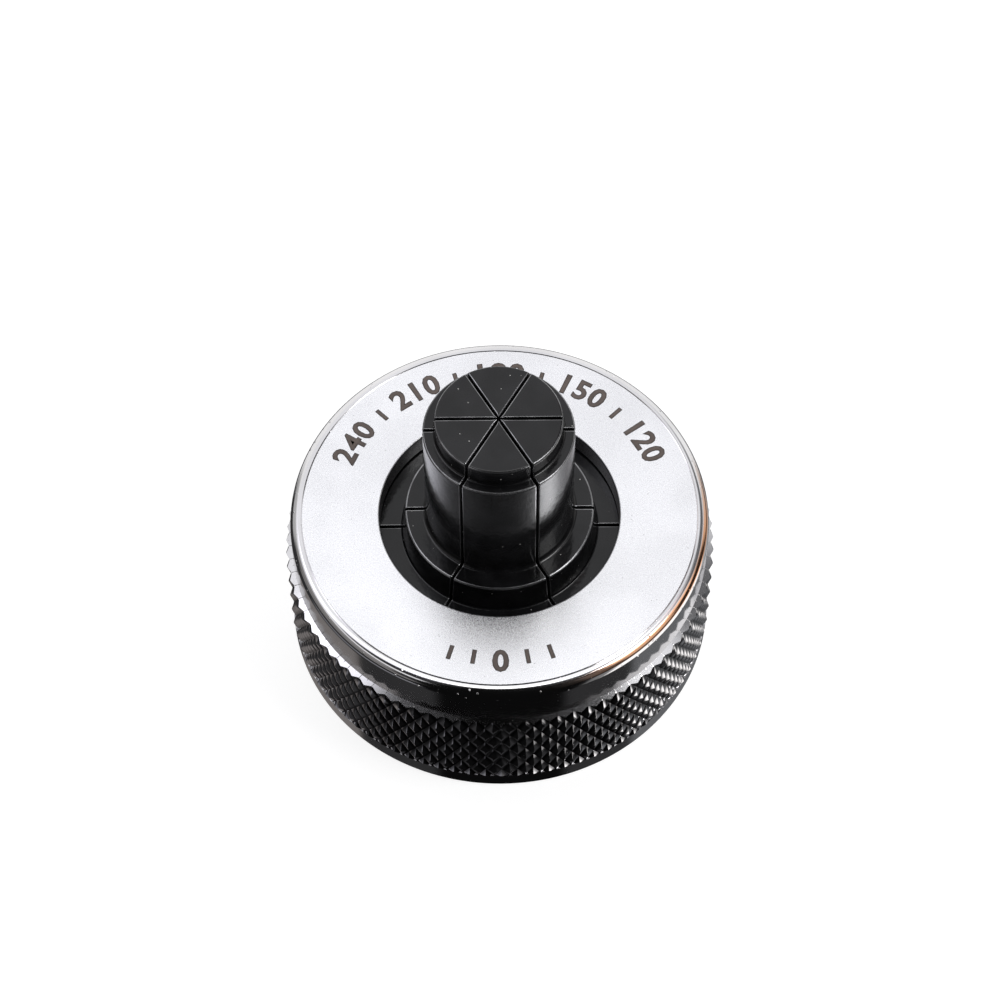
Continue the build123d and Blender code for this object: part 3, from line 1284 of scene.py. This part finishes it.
class RoomWork:
    """The light of the room under construction."""

    def __init__(self) -> None:
        """Starts a world and works out each direction's elevation and level heading."""
        self.world = bpy.data.worlds.new("soft_room")
        self.world.use_nodes = True
        bpy.context.scene.world = self.world
        self.tree = self.world.node_tree
        self.tree.nodes.clear()
        coordinate = self.tree.nodes.new("ShaderNodeTexCoord")
        split = self.tree.nodes.new("ShaderNodeSeparateXYZ")
        self.tree.links.new(coordinate.outputs["Generated"], split.inputs[0])
        across, along, up = split.outputs
        level = self.math("SQRT", self.math("SUBTRACT", 1.0, self.math("MULTIPLY", up, up)))
        level = self.math("MAXIMUM", level, 0.001)
        self.across = self.math("DIVIDE", across, level)
        self.along = self.math("DIVIDE", along, level)
        self.elevation = self.math("MULTIPLY", self.math("ARCSINE", up), 180.0 / math.pi)

    def math(self, operation: str, first: object, second: object = 0.0) -> bpy.types.NodeSocket:
        """One arithmetic node.

        Args:
            operation: Blender's name of the operation.
            first: a socket or a number.
            second: a socket or a number.

        Returns:
            The result's socket.
        """
        node = self.tree.nodes.new("ShaderNodeMath")
        node.operation = operation
        for socket, value in zip(node.inputs, (first, second)):
            if isinstance(value, bpy.types.NodeSocket):
                self.tree.links.new(value, socket)
            else:
                socket.default_value = value
        return node.outputs[0]

    def step(self, value: bpy.types.NodeSocket, low: float, high: float) -> bpy.types.NodeSocket:
        """A soft step from 0 at low to 1 at high."""
        node = self.tree.nodes.new("ShaderNodeMapRange")
        node.interpolation_type = "SMOOTHSTEP"
        self.tree.links.new(value, node.inputs["Value"])
        node.inputs["From Min"].default_value = low
        node.inputs["From Max"].default_value = high
        return node.outputs["Result"]

    def panel_mask(self, panel: SoftPanel) -> bpy.types.NodeSocket:
        """How much of a panel is seen in each direction.

        Args:
            panel: the panel.

        Returns:
            From 0 beside the panel to 1 on it.
        """
        turn = math.radians(panel.azimuth)
        facing = self.math("MULTIPLY", self.across, math.sin(turn))
        facing = self.math("ADD", facing, self.math("MULTIPLY", self.along, -math.cos(turn)))
        outside = math.cos(math.radians(min(180.0, panel.half_width + panel.soft / 2.0)))
        inside = math.cos(math.radians(max(0.0, panel.half_width - panel.soft / 2.0)))
        mask = self.step(facing, outside, inside)
        if panel.half_width >= 180.0:
            mask = self.math("MAXIMUM", mask, 1.0)
        below = self.step(self.elevation, panel.low - panel.soft / 2.0, panel.low + panel.soft / 2.0)
        above = self.step(self.elevation, panel.high + panel.soft / 2.0, panel.high - panel.soft / 2.0)
        return self.math("MULTIPLY", mask, self.math("MULTIPLY", below, above))

    def flat_colour(self, colour: tuple[float, float, float]) -> bpy.types.NodeSocket:
        """One colour for all directions."""
        node = self.tree.nodes.new("ShaderNodeRGB")
        node.outputs[0].default_value = (*colour, 1.0)
        return node.outputs[0]

    def scaled(self, colour: bpy.types.NodeSocket, amount: bpy.types.NodeSocket) -> bpy.types.NodeSocket:
        """A colour made darker or brighter by an amount."""
        node = self.tree.nodes.new("ShaderNodeVectorMath")
        node.operation = "SCALE"
        self.tree.links.new(colour, node.inputs[0])
        self.tree.links.new(amount, node.inputs["Scale"])
        return node.outputs[0]

    def panel_colour(self, panel: SoftPanel) -> bpy.types.NodeSocket:
        """The light of one panel in each direction."""
        colour = tuple(part * panel.strength for part in panel.tint)
        return self.scaled(self.flat_colour(colour), self.panel_mask(panel))

    def lighten(self, first: bpy.types.NodeSocket, second: bpy.types.NodeSocket) -> bpy.types.NodeSocket:
        """The brighter of two colours."""
        node = self.tree.nodes.new("ShaderNodeVectorMath")
        node.operation = "MAXIMUM"
        self.tree.links.new(first, node.inputs[0])
        self.tree.links.new(second, node.inputs[1])
        return node.outputs[0]

    def darken(self, colour: bpy.types.NodeSocket, mask: bpy.types.NodeSocket, share: float) -> bpy.types.NodeSocket:
        """A colour that loses a share of its light where a mask is 1."""
        return self.scaled(colour, self.math("SUBTRACT", 1.0, self.math("MULTIPLY", mask, share)))

    def finish(self, colour: bpy.types.NodeSocket, backdrop: float) -> None:
        """Joins the light to the world, with a plain pale backdrop behind the head.

        Args:
            colour: the light in each direction.
            backdrop: how bright the backdrop is.
        """
        nodes, links = self.tree.nodes, self.tree.links
        room = nodes.new("ShaderNodeBackground")
        links.new(colour, room.inputs["Color"])
        plain = nodes.new("ShaderNodeBackground")
        plain.inputs["Color"].default_value = (backdrop, backdrop, backdrop, 1.0)
        path = nodes.new("ShaderNodeLightPath")
        choose = nodes.new("ShaderNodeMixShader")
        links.new(path.outputs["Is Camera Ray"], choose.inputs[0])
        links.new(room.outputs[0], choose.inputs[1])
        links.new(plain.outputs[0], choose.inputs[2])
        output = nodes.new("ShaderNodeOutputWorld")
        links.new(choose.outputs[0], output.inputs["Surface"])


@dataclass
class Studio:
    """Camera, pale floor and soft light."""

    unit: float = 13.684 / 13.0
    distance: float = 350.0
    focal_pixels: float = 3233.0
    elevation: float = 57.2
    across: float = -0.108
    upward: float = -1.29
    roll: float = -0.46
    picture: int = 1001
    face_level: float = 19.8
    floor_size: float = 6.0
    floor_glow: float = 0.86
    backdrop: float = 1.0
    gaps: tuple[SoftPanel, ...] = (
        SoftPanel(0.0, 37.0, -95.0, 95.0, 0.88, 8.0),
        SoftPanel(137.0, 24.0, 42.0, 60.0, 0.85, 8.0),
        SoftPanel(0.0, 180.0, 80.5, 99.0, 0.95, 5.0),
    )
    panels: tuple[SoftPanel, ...] = (
        SoftPanel(180.0, 85.0, 36.0, 95.0, 0.9, 14.0, (0.975, 0.98, 1.01)),
        SoftPanel(180.0, 40.0, 65.0, 95.0, 2.9, 6.0),
        SoftPanel(-122.0, 26.0, 48.0, 85.0, 1.25, 8.0, (0.96, 0.96, 1.03)),
        SoftPanel(-125.0, 15.0, 50.0, 63.0, 2.4, 7.0, (0.96, 0.96, 1.03)),
        SoftPanel(-72.0, 36.0, 37.0, 47.0, 1.1, 10.0, (0.98, 0.98, 1.0)),
        SoftPanel(-82.0, 34.0, 12.0, 36.0, 0.25, 8.0, (1.0, 0.97, 0.96)),
        SoftPanel(78.0, 15.0, 46.0, 66.0, 8.5, 7.0),
        SoftPanel(80.0, 28.0, 30.0, 50.0, 1.0, 8.0),
        SoftPanel(70.0, 14.0, 12.0, 30.0, 0.7, 8.0),
        SoftPanel(139.0, 8.0, 59.0, 67.0, 1.2, 6.0, (1.0, 0.62, 0.38)),
        SoftPanel(79.0, 29.0, -47.0, -6.0, 1.3, 8.0, (1.0, 0.98, 0.96)),
        SoftPanel(118.0, 16.0, -50.0, -6.0, 0.45, 8.0),
        SoftPanel(46.0, 8.0, -42.0, -4.0, 0.2, 6.0),
        SoftPanel(40.0, 14.0, 10.0, 50.0, 0.12, 8.0),
        SoftPanel(-68.0, 36.0, -4.0, 10.0, 0.22, 6.0, (1.0, 0.97, 0.96)),
        SoftPanel(-66.0, 30.0, -41.0, -26.0, 0.22, 6.0, (0.97, 0.97, 1.05)),
        SoftPanel(-120.0, 32.0, -75.0, -54.0, 0.17, 6.0, (1.06, 0.98, 0.95)),
        SoftPanel(120.0, 40.0, -75.0, -53.0, 0.14, 8.0, (0.97, 0.99, 1.03)),
        SoftPanel(145.0, 30.0, 5.0, 45.0, 0.7, 10.0, (1.0, 0.98, 0.95)),
        SoftPanel(-140.0, 25.0, 0.0, 45.0, 0.45, 10.0),
        SoftPanel(180.0, 45.0, -20.0, 45.0, 0.95, 14.0),
    )

    def place_camera(self) -> bpy.types.Object:
        """Puts the camera where the photograph was taken from.

        Returns:
            The camera.
        """
        tilt, roll = math.radians(self.elevation), math.radians(self.roll)
        forward = Vector((0.0, math.cos(tilt), -math.sin(tilt)))
        upright = Vector((0.0, math.sin(tilt), math.cos(tilt)))
        level = Vector((1.0, 0.0, 0.0))
        right = level * math.cos(roll) + upright * math.sin(roll)
        up = upright * math.cos(roll) - level * math.sin(roll)
        place = (-forward * self.distance - right * self.across - up * self.upward) * self.unit
        place += Vector((0.0, 0.0, self.face_level))
        camera = bpy.data.objects.new("camera", bpy.data.cameras.new("camera"))
        camera.data.sensor_fit = "HORIZONTAL"
        camera.data.sensor_width = 36.0
        camera.data.lens = self.focal_pixels / self.picture * 36.0
        camera.data.clip_start, camera.data.clip_end = 0.01, 50.0
        turn = Matrix((right, up, -forward)).transposed()
        camera.matrix_world = Matrix.Translation(place * MM) @ turn.to_4x4()
        bpy.context.scene.collection.objects.link(camera)
        bpy.context.scene.camera = camera
        return camera

    def lay_floor(self) -> bpy.types.Object:
        """Lays the pale floor.

        Returns:
            The floor.
        """
        work = bmesh.new()
        bmesh.ops.create_grid(work, x_segments=1, y_segments=1, size=self.floor_size / 2.0)
        mesh = bpy.data.meshes.new("floor")
        work.to_mesh(mesh)
        work.free()
        floor = bpy.data.objects.new("floor", mesh)
        floor.location.z = -0.00002
        bpy.context.scene.collection.objects.link(floor)
        pale = NodeWork("pale_floor")
        pale.fixed(Roughness=0.9)
        pale.shader.inputs["Base Color"].default_value = (0.32, 0.32, 0.32, 1.0)
        pale.shader.inputs["Specular IOR Level"].default_value = 0.0
        pale.shader.inputs["Emission Color"].default_value = (1.0, 1.0, 1.0, 1.0)
        pale.fixed(Emission_Strength=self.floor_glow)
        mesh.materials.append(pale.material)
        floor.visible_glossy = False
        return floor

    def light(self) -> None:
        """Surrounds the head with soft panels, and leaves a dark gap in front of it."""
        room = RoomWork()
        colour = room.flat_colour((0.03, 0.03, 0.031))
        for panel in self.panels:
            colour = room.lighten(colour, room.panel_colour(panel))
        for gap in self.gaps:
            colour = room.darken(colour, room.panel_mask(gap), gap.strength)
        room.finish(colour, self.backdrop)
        settings = bpy.context.scene.view_settings
        settings.view_transform = "Standard"
        settings.look = "None"

    def build(self) -> None:
        """Sets up the whole studio."""
        self.place_camera()
        self.lay_floor()
        self.light()


def main() -> None:
    """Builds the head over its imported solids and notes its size."""
    logging.basicConfig(level=logging.INFO, format="%(message)s")
    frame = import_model()
    Studio().build()
    LOG.info("studio ready")
    cap = UnionCap().build()
    LOG.info("%s: %d faces", cap.name, len(cap.data.polygons))
    for marks in FaceScale().build():
        LOG.info("%s: %d faces", marks.name, len(marks.data.polygons))
    for jaw in JawPack().build():
        LOG.info("%s: %d faces", jaw.name, len(jaw.data.polygons))
    for coils in GarterSpring().build():
        LOG.info("%s", coils.name)
    InnerPieces().build(frame["nodes"])
    LOG.info("inner pieces dressed")


if __name__ == "__main__":
    main()
